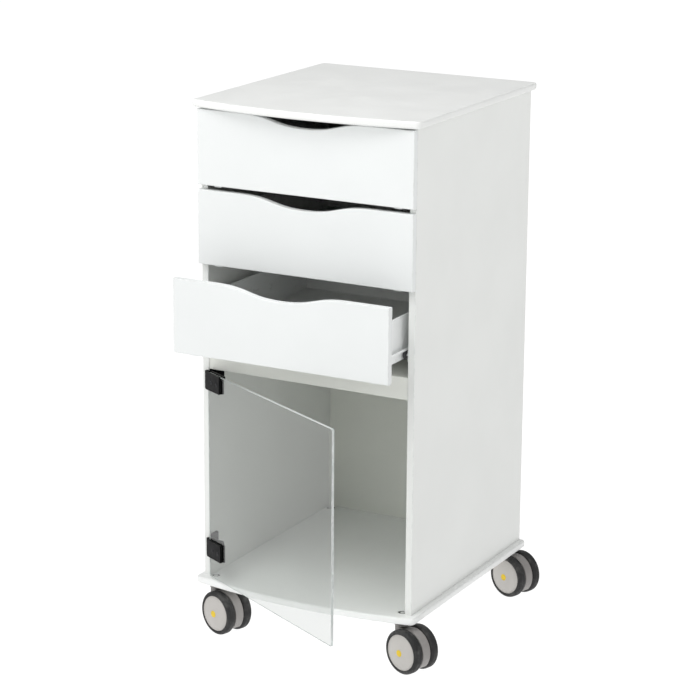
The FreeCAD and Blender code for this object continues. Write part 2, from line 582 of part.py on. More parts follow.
# A wheel is described on the +Y side of the axle and turned for the other.
def wheel_disc():
    rim_face = TYRE_FACE - DISC_INSET
    radius = WHEEL_R - TYRE_WALL
    disc = rod(0, HUB_INNER, 0, radius, rim_face - HUB_INNER, V(0, 1, 0))
    rim = [e for e in disc.Edges if e.BoundBox.YMin > rim_face - 0.01]
    disc = disc.makeFillet(DISC_EDGE_R, rim)
    dome_r = radius - DISC_RIM
    ball_r = (dome_r * dome_r + DISC_DOME * DISC_DOME) / (2.0 * DISC_DOME)
    ball = Part.makeSphere(ball_r, V(0, rim_face + DISC_DOME - ball_r, 0))
    dome = ball.common(rod(0, rim_face - 1.0, 0, dome_r, DISC_DOME + 2.0, V(0, 1, 0)))
    ring = rod(0, HUB_INNER, 0, radius - DISC_RIM, HUB_RELIEF, V(0, 1, 0))
    relief = ring.cut(rod(0, HUB_INNER - 1, 0, HUB_BOSS_R, HUB_RELIEF + 2, V(0, 1, 0)))
    bore = rod(0, HUB_INNER - 1, 0, AXLE_R + AXLE_PLAY, AXLE_HALF + HUB_BORE_SPARE - HUB_INNER + 1, V(0, 1, 0))
    return disc.fuse(dome).cut([relief, bore]).removeSplitter()


def wheel_tyre():
    y0 = TYRE_FACE - TYRE_W
    band = rod(0, y0, 0, WHEEL_R, TYRE_W, V(0, 1, 0))
    shoulders = [e for e in band.Edges if e.BoundBox.YLength < 0.01]
    band = band.makeChamfer(TYRE_SHOULDER, shoulders)
    return band.cut(rod(0, y0 - 1, 0, WHEEL_R - TYRE_WALL, TYRE_W + 2, V(0, 1, 0)))


def on_axle(shape, side):
    wheel = shape.copy()
    if side < 0:
        wheel.rotate(V(0, 0, 0), V(0, 0, 1), 180)
    wheel.translate(V(TRAIL, 0, WHEEL_R))
    return wheel


bolts = []
yoke = caster_yoke()
disc = wheel_disc()
tyre = wheel_tyre()
for corner, (stem_x, stem_y) in STEMS.items():
    bolts.append(caster_bolt(stem_x, stem_y))
    name = "caster_" + corner
    save(name + "_yoke", placed(yoke, stem_x, stem_y))
    for side, word in ((-1, "near"), (1, "far")):
        save(name + "_disc_" + word, placed(on_axle(disc, side), stem_x, stem_y))
        save(name + "_tyre_" + word, placed(on_axle(tyre, side), stem_x, stem_y))

save("caster_bolts", group(bolts))
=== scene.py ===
import bpy
import bmesh
import json
import math
from mathutils import Matrix, Vector


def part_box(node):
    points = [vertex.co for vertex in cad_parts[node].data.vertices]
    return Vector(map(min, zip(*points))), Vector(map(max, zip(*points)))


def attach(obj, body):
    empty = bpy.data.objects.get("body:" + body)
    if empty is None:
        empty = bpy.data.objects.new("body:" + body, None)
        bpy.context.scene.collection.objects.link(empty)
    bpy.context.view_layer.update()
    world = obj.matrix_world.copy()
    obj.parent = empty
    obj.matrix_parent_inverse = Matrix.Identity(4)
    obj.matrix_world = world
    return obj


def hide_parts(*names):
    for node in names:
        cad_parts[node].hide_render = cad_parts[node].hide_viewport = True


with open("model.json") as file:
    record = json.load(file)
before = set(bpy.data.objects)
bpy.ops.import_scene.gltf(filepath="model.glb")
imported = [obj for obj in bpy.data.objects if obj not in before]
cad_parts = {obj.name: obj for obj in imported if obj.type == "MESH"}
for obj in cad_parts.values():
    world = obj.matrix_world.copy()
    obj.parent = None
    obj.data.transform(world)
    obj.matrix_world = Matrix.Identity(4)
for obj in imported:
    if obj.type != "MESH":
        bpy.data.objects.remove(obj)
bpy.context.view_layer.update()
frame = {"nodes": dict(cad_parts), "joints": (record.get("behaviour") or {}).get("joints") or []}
NODES = frame["nodes"]
JOINTS = {j["name"]: j for j in frame["joints"]}
COL = bpy.context.scene.collection
MM = 0.001


# ------------------------------------------------------------------ materials
class Mat:
    """A principled material with a few helpers for its procedural detail."""

    def __init__(self, name):
        self.mat = bpy.data.materials.new(name)
        self.mat.use_nodes = True
        self.nt = self.mat.node_tree
        self.bsdf = self.nt.nodes["Principled BSDF"]
        self.coord = self.nt.nodes.new("ShaderNodeTexCoord").outputs["Object"]

    def node(self, kind, **values):
        n = self.nt.nodes.new(kind)
        for key, value in values.items():
            setattr(n, key, value)
        return n

    def link(self, a, b):
        self.nt.links.new(a, b)

    def set(self, name, value):
        self.bsdf.inputs[name].default_value = value

    def stretched(self, scale):
        n = self.node("ShaderNodeMapping")
        n.inputs["Scale"].default_value = scale
        self.link(self.coord, n.inputs["Vector"])
        return n.outputs["Vector"]

    def noise(self, scale, detail=3.0, rough=0.55, vector=None, distortion=0.0):
        n = self.node("ShaderNodeTexNoise")
        n.inputs["Scale"].default_value = scale
        n.inputs["Detail"].default_value = detail
        n.inputs["Roughness"].default_value = rough
        n.inputs["Distortion"].default_value = distortion
        self.link(vector or self.coord, n.inputs["Vector"])
        return n.outputs["Fac"]

    def ramp(self, value, low, high, to_low=0.0, to_high=1.0):
        n = self.node("ShaderNodeMapRange")
        n.interpolation_type = "SMOOTHSTEP"
        n.inputs["From Min"].default_value = low
        n.inputs["From Max"].default_value = high
        n.inputs["To Min"].default_value = to_low
        n.inputs["To Max"].default_value = to_high
        self.link(value, n.inputs["Value"])
        return n.outputs["Result"]

    def math(self, op, a, b=None):
        n = self.node("ShaderNodeMath", operation=op)
        for socket, value in ((n.inputs[0], a), (n.inputs[1], b)):
            if value is None:
                continue
            if isinstance(value, (int, float)):
                socket.default_value = value
            else:
                self.link(value, socket)
        return n.outputs[0]

    def mix(self, factor, a, b):
        n = self.node("ShaderNodeMix", data_type="RGBA")
        for socket, value in ((n.inputs[0], factor), (n.inputs[6], a), (n.inputs[7], b)):
            if isinstance(value, (tuple, list)):
                socket.default_value = (*value[:3], 1.0)
            elif isinstance(value, (int, float)):
                socket.default_value = value
            else:
                self.link(value, socket)
        return n.outputs[2]

    def edge_distance(self, low, high):
        """Metres from the nearest edge of a box-shaped piece, on its surface."""
        centre = [(a + b) / 2 for a, b in zip(low, high)]
        half = [(b - a) / 2 for a, b in zip(low, high)]
        off = self.node("ShaderNodeVectorMath", operation="SUBTRACT")
        off.inputs[1].default_value = centre
        self.link(self.coord, off.inputs[0])
        size = self.node("ShaderNodeVectorMath", operation="ABSOLUTE")
        self.link(off.outputs[0], size.inputs[0])
        inside = self.node("ShaderNodeVectorMath", operation="SUBTRACT")
        self.link(size.outputs[0], inside.inputs[0])
        inside.inputs[1].default_value = half
        parts = self.node("ShaderNodeSeparateXYZ")
        self.link(inside.outputs[0], parts.inputs[0])
        x, y, z = parts.outputs
        low_xy = self.math("MINIMUM", x, y)
        high_xy = self.math("MAXIMUM", x, y)
        second = self.math("MAXIMUM", low_xy, self.math("MINIMUM", high_xy, z))
        return self.math("MULTIPLY", second, -1.0)

    def bump(self, height, distance, strength=1.0, normal=None):
        n = self.node("ShaderNodeBump")
        n.inputs["Strength"].default_value = strength
        n.inputs["Distance"].default_value = distance
        self.link(height, n.inputs["Height"])
        if normal is not None:
            self.link(normal, n.inputs["Normal"])
        return n.outputs["Normal"]

    def finish(self, colour=None, rough=None, normal=None):
        for name, value in (("Base Color", colour), ("Roughness", rough), ("Normal", normal)):
            if value is not None:
                self.link(value, self.bsdf.inputs[name])
        return self.mat


def moulded(name, colour, rough=0.4, vary=0.05, grain=900.0, depth=0.00003, box=None, worn=None,
            spread=0.08, blotch=14.0, specular=0.5, coat=0.0):
    """Moulded, painted or sheet plastic: slow tone change, smudged gloss, fine grain, worn edges."""
    m = Mat(name)
    m.set("Specular IOR Level", specular)
    if coat:
        m.set("Coat Weight", coat)
        m.set("Coat Roughness", 0.25)
    dark = tuple(c * (1 - vary) for c in colour)
    light = tuple(min(1.0, c * (1 + vary)) for c in colour)
    tone = m.mix(m.ramp(m.noise(blotch, 4.0), 0.35, 0.65), dark, light)
    fine = m.noise(grain, 2.0, 0.5)
    smudge = m.noise(blotch * 2.3, 5.0, 0.6, distortion=0.6)
    roughness = m.ramp(smudge, 0.3, 0.7, rough - spread, rough + spread)
    if box is not None and worn is not None:
        edge = m.ramp(m.edge_distance(*box), 0.0004, 0.0030, 1.0, 0.0)
        broken = m.math("MULTIPLY", edge, m.ramp(m.noise(55.0, 5.0, 0.7), 0.42, 0.68))
        tone = m.mix(m.math("MULTIPLY", broken, 0.55), tone, worn)
        roughness = m.math("ADD", roughness, m.math("MULTIPLY", broken, 0.12))
    normal = m.bump(fine, depth, 0.55)
    normal = m.bump(m.noise(grain * 0.12, 3.0), depth * 3.0, 0.35, normal)
    return m.finish(tone, roughness, normal)


def metal(name, colour, rough=0.3, brushed=(1.0, 1.0, 1.0), vary=0.08):
    m = Mat(name)
    m.set("Metallic", 1.0)
    streak = m.noise(400.0, 3.0, 0.6, vector=m.stretched(brushed))
    spots = m.noise(38.0, 5.0, 0.65)
    dark = tuple(c * (1 - vary) for c in colour)
    light = tuple(min(1.0, c * (1 + vary)) for c in colour)
    tone = m.mix(m.ramp(streak, 0.3, 0.7), dark, light)
    tone = m.mix(m.ramp(spots, 0.58, 0.75, 0.0, 0.35), tone, tuple(c * 0.6 for c in colour))
    roughness = m.ramp(spots, 0.3, 0.75, rough - 0.06, rough + 0.16)
    return m.finish(tone, roughness, m.bump(streak, 0.00002, 0.5))


def rubber(name, colour):
    m = Mat(name)
    m.set("Specular IOR Level", 0.35)
    dust = m.ramp(m.noise(42.0, 6.0, 0.7), 0.45, 0.75, 0.0, 0.35)
    dark = tuple(c * 0.86 for c in colour)
    light = tuple(c * 1.12 for c in colour)
    tone = m.mix(m.ramp(m.noise(16.0, 3.0), 0.35, 0.65), dark, light)
    tone = m.mix(dust, tone, (0.20, 0.195, 0.185))
    roughness = m.ramp(m.noise(70.0, 4.0), 0.3, 0.7, 0.48, 0.66)
    normal = m.bump(m.noise(1500.0, 2.0), 0.00004, 0.6)
    normal = m.bump(m.noise(120.0, 4.0), 0.00012, 0.3, normal)
    return m.finish(tone, roughness, normal)


def clear_sheet(name, tint, rough):
    m = Mat(name)
    m.set("Transmission Weight", 1.0)
    m.set("IOR", 1.49)
    tone = m.mix(m.ramp(m.noise(9.0, 3.0), 0.35, 0.65), tuple(c * 0.985 for c in tint), tint)
    smear = m.noise(26.0, 5.0, 0.65, distortion=1.2)
    roughness = m.ramp(smear, 0.5, 0.8, rough, rough + 0.035)
    m.finish(tone, roughness, m.bump(m.noise(5.0, 2.0), 0.0004, 0.04))
    through = m.node("ShaderNodeBsdfTransparent")
    through.inputs["Color"].default_value = (*tint, 1.0)
    shadow = m.node("ShaderNodeLightPath").outputs["Is Shadow Ray"]
    either = m.node("ShaderNodeMixShader")
    m.link(shadow, either.inputs[0])
    m.link(m.bsdf.outputs[0], either.inputs[1])
    m.link(through.outputs[0], either.inputs[2])
    m.link(either.outputs[0], m.nt.nodes["Material Output"].inputs["Surface"])
    return m.mat


def clear_edge(name):
    m = Mat(name)
    m.set("Transmission Weight", 0.35)
    m.set("IOR", 1.49)
    m.set("Subsurface Weight", 0.0)
    tone = m.mix(m.ramp(m.noise(70.0, 3.0), 0.3, 0.7), (0.80, 0.86, 0.84), (0.93, 0.96, 0.95))
    saw = m.noise(900.0, 2.0, 0.5, vector=m.stretched((1.0, 1.0, 0.05)))
    roughness = m.ramp(saw, 0.3, 0.7, 0.16, 0.34)
    return m.finish(tone, roughness, m.bump(saw, 0.00005, 0.4))


WHITE = (0.830, 0.843, 0.822)
INSIDE_WHITE = (0.83, 0.842, 0.79)
TOP_WHITE = (0.835, 0.845, 0.83)
# painted light: the base panel's white is brighter than the same sheet elsewhere, standing in for light its
# top lacks under the body
BASE_WHITE_PAINTED_LIGHT = (0.90, 0.912, 0.90)
# painted shade: the drawer fronts' white is darker than the same sheet elsewhere, toning down how brightly
# they are lit
FRONT_WHITE_PAINTED_SHADE = (0.80, 0.82, 0.815)
EDGE_GREY = (0.66, 0.67, 0.66)


def cad_material(node, mat):
    mesh = NODES[node].data
    mesh.materials.clear()
    mesh.materials.append(mat)
    mesh.shade_smooth()
    mesh.set_sharp_from_angle(angle=math.radians(32))


def sheet_node(node, colour=WHITE, rough=0.36, **more):
    low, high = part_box(node)
    cad_material(node, moulded("sheet_" + node, colour, rough, 0.012, 1100.0, 0.00002,
                               box=(low, high), worn=EDGE_GREY, spread=0.06, blotch=5.0, **more))


# ------------------------------------------------------------------ mesh tools
def to_object(name, bm, mats, smooth=35.0):
    bmesh.ops.recalc_face_normals(bm, faces=bm.faces)
    mesh = bpy.data.meshes.new(name)
    bm.to_mesh(mesh)
    bm.free()
    for mat in mats:
        mesh.materials.append(mat)
    mesh.shade_smooth()
    mesh.set_sharp_from_angle(angle=math.radians(smooth))
    obj = bpy.data.objects.new(name, mesh)
    COL.objects.link(obj)
    return obj


def along(origin, direction):
    """A matrix whose Z runs along direction from origin."""
    z = Vector(direction).normalized()
    helper = Vector((0, 0, 1)) if abs(z.z) < 0.9 else Vector((1, 0, 0))
    x = helper.cross(z).normalized()
    y = z.cross(x)
    m = Matrix((x, y, z)).transposed().to_4x4()
    m.translation = Vector(origin)
    return m


def lathe_into(bm, profile, matrix, segments=64, material=0):
    """Turns a profile of (height, radius) about the matrix's Z; closed if it ends where it began."""
    rings = []
    for height, radius in profile:
        if radius < 1e-7:
            rings.append([bm.verts.new(matrix @ Vector((0, 0, height)))])
            continue
        ring = []
        for i in range(segments):
            a = 2 * math.pi * i / segments
            ring.append(bm.verts.new(matrix @ Vector((radius * math.cos(a), radius * math.sin(a), height))))
        rings.append(ring)
    pairs = list(zip(rings, rings[1:]))
    if len(rings[0]) > 1 and len(rings[-1]) > 1:
        pairs.append((rings[-1], rings[0]))
    for a, b in pairs:
        for i in range(segments):
            j = (i + 1) % segments
            corners = [a[i % len(a)], a[j % len(a)], b[j % len(b)], b[i % len(b)]]
            unique = []
            for v in corners:
                if v not in unique:
                    unique.append(v)
            if len(unique) > 2:
                face = bm.faces.new(unique)
                face.material_index = material


def lathe(name, profile, matrix, mats, segments=64, smooth=35.0):
    bm = bmesh.new()
    lathe_into(bm, profile, matrix, segments)
    return to_object(name, bm, mats, smooth)


def soft_corner(a, b, c, radius, steps=4):
    """Points of a rounded corner at b between a and c, in profile coordinates."""
    pa, pb, pc = Vector(a), Vector(b), Vector(c)
    u, v = (pa - pb), (pc - pb)
    reach = min(radius, u.length * 0.45, v.length * 0.45)
    start, end = pb + u.normalized() * reach, pb + v.normalized() * reach
    points = []
    for i in range(steps + 1):
        t = i / steps
        points.append(tuple(start * (1 - t) ** 2 + pb * 2 * t * (1 - t) + end * t * t))
    return points


def rounded(profile, radii, closed=True):
    count = len(profile)
    points = []
    for i, p in enumerate(profile):
        r = radii[i] if isinstance(radii, (list, tuple)) else radii
        if r <= 0 or (not closed and i in (0, count - 1)):
            points.append(tuple(p))
            continue
        points += soft_corner(profile[i - 1], p, profile[(i + 1) % count], r)
    return points


def cross_cut(obj, matrix, depth, reach, width):
    """Sinks a cross recess into obj, along the matrix's -Z from its origin."""
    bm = bmesh.new()
    quarter = [(reach, width), (width, width), (width, reach)]
    half = quarter + [(-x, y) for x, y in reversed(quarter)]
    outline = half + [(-x, -y) for x, y in half]
    top = [bm.verts.new(matrix @ Vector((x, y, 0.001))) for x, y in outline]
    low = [bm.verts.new(matrix @ Vector((x * 0.72, y * 0.72, -depth))) for x, y in outline]
    bm.faces.new(top)
    bm.faces.new(list(reversed(low)))
    for i in range(len(outline)):
        j = (i + 1) % len(outline)
        bm.faces.new((top[j], top[i], low[i], low[j]))
    cut_with(obj, bm)


def hex_cut(obj, matrix, depth, radius):
    bm = bmesh.new()
    profile = [(0.001, 0.0), (0.001, radius), (-depth, radius), (-depth - radius * 0.35, 0.0)]
    lathe_into(bm, profile, matrix, 6)
    cut_with(obj, bm)


def cut_with(obj, bm):
    cutter = to_object("cutter", bm, [])
    mod = obj.modifiers.new("cut", "BOOLEAN")
    mod.operation = "DIFFERENCE"
    mod.solver = "EXACT"
    mod.object = cutter
    graph = bpy.context.evaluated_depsgraph_get()
    mesh = bpy.data.meshes.new_from_object(obj.evaluated_get(graph))
    obj.modifiers.remove(mod)
    obj.data = mesh
    mesh.set_sharp_from_angle(angle=math.radians(30))
    bpy.data.objects.remove(cutter)


def islands(node):
    """Boxes of a CAD node's separate solids, low and high corners."""
    mesh = NODES[node].data
    parent = list(range(len(mesh.vertices)))

    def find(i):
        while parent[i] != i:
            parent[i] = parent[parent[i]]
            i = parent[i]
        return i

    spots = {}
    for v in mesh.vertices:
        key = tuple(round(c, 6) for c in v.co)
        if key in spots:
            parent[find(v.index)] = find(spots[key])
        else:
            spots[key] = v.index
    for e in mesh.edges:
        parent[find(e.vertices[0])] = find(e.vertices[1])
    boxes = {}
    for v in mesh.vertices:
        root = find(v.index)
        low, high = boxes.setdefault(root, (v.co.copy(), v.co.copy()))
        for i in range(3):
            low[i] = min(low[i], v.co[i])
            high[i] = max(high[i], v.co[i])
    return sorted(boxes.values(), key=lambda b: tuple(round(c, 4) for c in b[0]))


def bevelled(node, width, angle=40.0):
    mod = NODES[node].modifiers.new("soft_arris", "BEVEL")
    mod.width = width
    mod.segments = 2
    mod.limit_method = "ANGLE"
    mod.angle_limit = math.radians(angle)
    mod.harden_normals = False


# ------------------------------------------------------------------ carcass
sheet_node("top_panel", TOP_WHITE, 0.34)
# the base panel gets the brighter white, with painted light in it
sheet_node("base_panel", BASE_WHITE_PAINTED_LIGHT, 0.34)
for name in ("side_panel_left", "side_panel_right"):
    sheet_node(name)
for name in ("divider_rail", "divider_panel", "back_panel"):
    sheet_node(name, INSIDE_WHITE)
for n in (1, 2, 3):
    # the drawer fronts get the darker white, with painted shade in it
    sheet_node("drawer_%d_front" % n, FRONT_WHITE_PAINTED_SHADE, 0.38)
    for part in ("_bottom", "_back"):
        sheet_node("drawer_%d%s" % (n, part), (0.84, 0.85, 0.835), 0.5)

powder = moulded("white_powder_coat", (0.89, 0.905, 0.90), 0.33, 0.015, 700.0, 0.00005,
                 spread=0.07, blotch=18.0, specular=0.5, coat=0.15)
for n in (1, 2, 3):
    for part in ("_side_left", "_side_right", "_front_brackets"):
        cad_material("drawer_%d%s" % (n, part), powder)
for name in ("cabinet_runners_left", "cabinet_runners_right"):
    cad_material(name, powder)

zinc = metal("zinc_plate", (0.62, 0.63, 0.65), 0.34)
black_oxide = metal("black_oxide", (0.045, 0.045, 0.05), 0.42)
lacquer = moulded("black_lacquer", (0.004, 0.004, 0.0045), 0.46, 0.2, 900.0, 0.00004,
                  spread=0.09, blotch=40.0, specular=0.12)
nylon = moulded("dark_nylon", (0.035, 0.035, 0.038), 0.42, 0.12, 1200.0, 0.00004, blotch=60.0)
cap_white = moulded("cap_white", (0.74, 0.75, 0.74), 0.4, 0.03, 1200.0, 0.00003, blotch=60.0)
tyre_rubber = rubber("tyre_rubber", (0.020, 0.020, 0.0205))
hood_grey = moulded("hood_grey", (0.30, 0.285, 0.275), 0.44, 0.05, 1400.0, 0.00006, blotch=30.0)
disc_grey = moulded("disc_grey", (0.52, 0.50, 0.475), 0.40, 0.03, 1500.0, 0.00005, blotch=26.0)
dot_yellow = moulded("dot_yellow", (0.80, 0.56, 0.015), 0.42, 0.06, 1400.0, 0.00004, blotch=70.0)
seal_black = moulded("seal_black", (0.02, 0.02, 0.02), 0.55, 0.15, 1200.0, 0.00005, blotch=60.0)

# ------------------------------------------------------------------ screws
DOME = [(0.0005, 0.00275), (0.0010, 0.00255), (0.0014, 0.0021), (0.00165, 0.0014), (0.00175, 0.0007),
        (0.00178, 0.0)]


def screw(name, matrix, scale=1.0, shank=0.019, mat=None):
    profile = [(-shank, 0.0), (-shank + 0.0012, 0.0006), (-shank + 0.0024, 0.00135),
               (-0.0001, 0.00135), (0.0, 0.0027)]
    profile = [(h, r * scale) for h, r in profile] + [(h * scale, r * scale) for h, r in DOME]
    obj = lathe(name, profile, matrix, [mat or zinc], 40)
    top = matrix @ Matrix.Translation((0, 0, DOME[-1][0] * scale))
    cross_cut(obj, top, 0.0012 * scale, 0.0015 * scale, 0.00032 * scale)
    return obj


screws = []
for i, (low, high) in enumerate(islands("carcass_screws")):
    mid = (low + high) / 2
    if high.y - low.y > 0.012:
        head_face = high.y - 1.8 * MM
        m = along((mid.x, head_face, mid.z), (0, 1, 0))
        screws.append(screw("back_screw_%02d" % i, m))
    else:
        m = along((mid.x, mid.y, low.z + 2.0 * MM), (0, 0, -1))
        screws.append(screw("base_screw_%02d" % i, m, 1.1, 0.037))
for obj in screws:
    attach(obj, "carcass")
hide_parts("carcass_screws")

# ------------------------------------------------------------------ caster bolts
cad_material("caster_bolts", nylon)
for i, (low, high) in enumerate(islands("caster_bolts")):
    mid = (low + high) / 2
    top = high.z
    m = along((mid.x, mid.y, top), (0, 0, 1))
    profile = [(-0.0012, 0.0), (-0.0012, 0.0038), (0.0003, 0.0039), (0.0006, 0.0036), (0.00075, 0.0029),
               (0.0008, 0.0015), (0.00082, 0.0)]
    cap = lathe("bolt_cap_%d" % i, profile, m, [cap_white], 48)
    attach(cap, "carcass")

# ------------------------------------------------------------------ casters
# Caster sizes the frame's boxes don't tell, in millimetres.
TYRE_SHOULDER = 3.6
RIM_INSET = 0.4      # rim of the disc inside the tyre's outer face
RIM_W = 2.4
DOT_RECESS = 0.55
DOT_WELL_R = 6.3
DOT_RIM_R = 6.7
HUB_RELIEF = 4.0
BOSS_R = 11.0
AXLE_BORE_R = 4.06
AXLE_BORE_END = 25.5
WHEEL_MID = 20.0     # a wheel's joint from the caster's middle
COLLAR_BORE_R = 14.05


def tyre_profile(low, high, outer, seat, shoulder):
    mid = (low + high) / 2
    pts = [(low, seat), (low, outer - shoulder), (low + shoulder, outer), (mid - 0.45, outer),
           (mid - 0.25, outer - 0.18), (mid + 0.25, outer - 0.18), (mid + 0.45, outer),
           (high - shoulder, outer), (high, outer - shoulder), (high - 0.05, seat + 0.9),
           (high - 0.5, seat + 0.55), (high - 0.55, seat)]
    radii = [0.2, 1.3, 1.7, 0.1, 0.1, 0.1, 0.1, 1.7, 1.3, 0.25, 0.2, 0.0]
    return [(a * MM, r * MM) for a, r in rounded(pts, radii)]


def disc_profile(inner, rim_face, radius, dome, rim):
    """Wheel disc: bulged face with a moulded rim, a recess for the dot, hollow back and a blind bore."""
    dome_r = radius - rim
    ball = (dome_r * dome_r + dome * dome) / (2 * dome)

    def face(r):
        return rim_face + dome - ball + math.sqrt(max(0.0, ball * ball - r * r))

    pts = [(face(0) - DOT_RECESS, 0.0), (face(0) - DOT_RECESS, DOT_WELL_R), (face(DOT_RIM_R), DOT_RIM_R)]
    steps = 9
    for i in range(1, steps):
        r = DOT_RIM_R + (dome_r - 0.6 - DOT_RIM_R) * i / steps
        pts.append((face(r), r))
    pts += [(face(dome_r - 0.6), dome_r - 0.6), (rim_face - 0.35, dome_r), (rim_face - 0.35, dome_r + 0.5),
            (rim_face, dome_r + 0.8), (rim_face, radius - 0.9), (rim_face - 0.9, radius - 0.02),
            (inner + 0.3, radius - 0.02), (inner, radius - 0.3), (inner, dome_r),
            (inner + HUB_RELIEF, dome_r - 0.3), (inner + HUB_RELIEF, BOSS_R + 0.3), (inner, BOSS_R),
            (inner, AXLE_BORE_R), (AXLE_BORE_END, AXLE_BORE_R), (AXLE_BORE_END, 0.0)]
    return [(a * MM, r * MM) for a, r in pts]


CORNERS = ("front_left", "front_right", "rear_left", "rear_right")
for corner in CORNERS:
    body = "caster_" + corner
    cad_material(body + "_yoke", hood_grey)
    swivel = JOINTS[body + "_swivel"]
    sx, sy = swivel["pos_m"][0], swivel["pos_m"][1]
    yoke_low, yoke_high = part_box(body + "_yoke")
    seal_top = yoke_high.z
    seal = rounded([(-2.2, COLLAR_BORE_R), (-2.2, 15.2), (-0.2, 15.9), (-0.2, COLLAR_BORE_R)], 0.35)
    seal = [(a * MM, r * MM) for a, r in seal]
    ring = lathe(body + "_seal", seal, along((sx, sy, seal_top), (0, 0, 1)), [seal_black], 64)
    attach(ring, body)
    for word, sign in (("near", -1.0), ("far", 1.0)):
        joint = JOINTS[body + "_wheel_" + word + "_turn"]
        axis = Vector(joint["axis"]).normalized()
        outward = axis * sign
        hub = Vector(joint["pos_m"]) - outward * WHEEL_MID * MM
        m = along(hub, outward)
        wheel = body + "_wheel_" + word
        tyre_mesh = NODES[body + "_tyre_" + word].data
        reach = [(m.inverted() @ v.co) for v in tyre_mesh.vertices]
        t_low = min(p.z for p in reach) / MM
        t_high = max(p.z for p in reach) / MM
        t_out = max(math.hypot(p.x, p.y) for p in reach) / MM
        t_seat = min(math.hypot(p.x, p.y) for p in reach) / MM
        tread = tyre_profile(t_low, t_high, t_out, t_seat, TYRE_SHOULDER)
        tyre = lathe(body + "_tread_" + word, tread, m, [tyre_rubber], 128, 50)
        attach(tyre, wheel)
        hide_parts(body + "_tyre_" + word)
        disc_mesh = NODES[body + "_disc_" + word].data
        reach = [(m.inverted() @ v.co) for v in disc_mesh.vertices]
        d_low = min(p.z for p in reach) / MM
        d_high = max(p.z for p in reach) / MM
        rim_face = t_high - RIM_INSET
        cover = disc_profile(d_low, rim_face, t_seat, max(0.5, d_high - rim_face), RIM_W)
        disc = lathe(body + "_cover_" + word, cover, m, [disc_grey], 128, 30)
        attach(disc, wheel)
        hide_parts(body + "_disc_" + word)
        top = d_high - 0.5
        dot = [(top - 0.6, 0.0), (top - 0.6, 6.1), (top + 0.1, 6.15), (top + 0.35, 5.9), (top + 0.4, 5.2),
               (top + 0.42, 2.0), (top + 0.42, 0.0)]
        dot = [(a * MM, r * MM) for a, r in dot]
        button = lathe(body + "_dot_" + word, dot, m, [dot_yellow], 64, 30)
        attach(button, wheel)

# ------------------------------------------------------------------ runner rollers
ROLLER_BORE_R = 2.56


def roller_profile(width, radius):
    w = width / MM
    r = radius / MM
    bore = ROLLER_BORE_R
    pts = [(0, bore), (0, 4.0), (0.45, 4.5), (0.45, r - 2.0), (0.0, r - 1.5), (0.0, r - 0.5), (0.5, r),
           (w - 0.5, r), (w, r - 0.5), (w, r - 1.5), (w - 0.45, r - 2.0), (w - 0.45, 4.5),
           (w, 4.0), (w, bore)]
    return [(a * MM, b * MM) for a, b in rounded(pts, 0.25)]


def rollers(node, body):
    bm = bmesh.new()
    for low, high in islands(node):
        mid = (low + high) / 2
        m = along((low.x, mid.y, mid.z), (1, 0, 0))
        lathe_into(bm, roller_profile(high.x - low.x, (high.z - low.z) / 2), m, 64)
    obj = to_object(body + "_nylon", bm, [nylon], 30)
    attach(obj, body)
    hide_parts(node)


def rivet(name, at, direction, body):
    profile = [(-0.0004, 0.0), (-0.0004, 0.0031), (0.0, 0.0032), (0.0003, 0.0029), (0.0005, 0.0021),
               (0.00055, 0.0)]
    obj = lathe(name, profile, along(at, direction), [zinc], 40)
    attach(obj, body)


for n in (1, 2, 3):
    rollers("drawer_%d_rear_rollers" % n, "drawer_%d_rear_rollers" % n)
    rollers("drawer_%d_cabinet_rollers" % n, "drawer_%d_cabinet_rollers" % n)
    for side, (low, high) in zip(("left", "right"), islands("drawer_%d_cabinet_rollers" % n)):
        mid = (low + high) / 2
        inward = 1.0 if side == "left" else -1.0
        face_x = high.x if side == "left" else low.x
        at = (face_x + inward * 0.5 * MM, mid.y, mid.z)
        rivet("drawer_%d_pin_head_%s" % (n, side), at, (inward, 0, 0), "carcass")

# ------------------------------------------------------------------ drawer bracket screws
for n in (1, 2, 3):
    for side, (low, high) in zip(("left", "right"), islands("drawer_%d_front_brackets" % n)):
        inward = 1.0 if side == "left" else -1.0
        leg_x = (low.x if side == "left" else high.x) + inward * 1.5 * MM
        for k in range(4):
            at = (leg_x, low.y + (10.0 + 9.0 * (k % 2)) * MM, low.z + (36.0 + 26.0 * (k // 2)) * MM)
            name = "drawer_%d_bracket_screw_%s_%d" % (n, side, k)
            obj = screw(name, along(at, (inward, 0, 0)), 0.85, 0.0022)
            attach(obj, "drawer_%d" % n)

# ------------------------------------------------------------------ door
hinge = JOINTS["door_hinge"]
pin = Vector((hinge["pos_m"][0], hinge["pos_m"][1], 0.0))
FRONT_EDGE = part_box("side_panel_left")[0].y
open_angle = math.radians(-hinge["range_deg"][0])
swung = Matrix.Translation(pin) @ Matrix.Rotation(-open_angle, 4, "Z") @ Matrix.Translation(-pin)


def closed_box(node):
    back = swung.inverted()
    points = [back @ v.co for v in NODES[node].data.vertices]
    low = Vector([min(p[i] for p in points) for i in range(3)])
    high = Vector([max(p[i] for p in points) for i in range(3)])
    return low, high


low, high = closed_box("door_glass")
pane_tint = (0.77, 0.785, 0.775)
bm = bmesh.new()
corner_r = 3.0 * MM
arris = 0.45 * MM
hinge_corner_r = 0.5 * MM
outline = []
for cx, cz, start, r in (
        (high.x - corner_r, high.z - corner_r, 0.0, corner_r),
        (low.x + hinge_corner_r, high.z - hinge_corner_r, 90.0, hinge_corner_r),
        (low.x + hinge_corner_r, low.z + hinge_corner_r, 180.0, hinge_corner_r),
        (high.x - corner_r, low.z + corner_r, 270.0, corner_r)):
    for k in range(7):
        a = math.radians(start + 15.0 * k)
        outline.append((cx, cz, r, a))


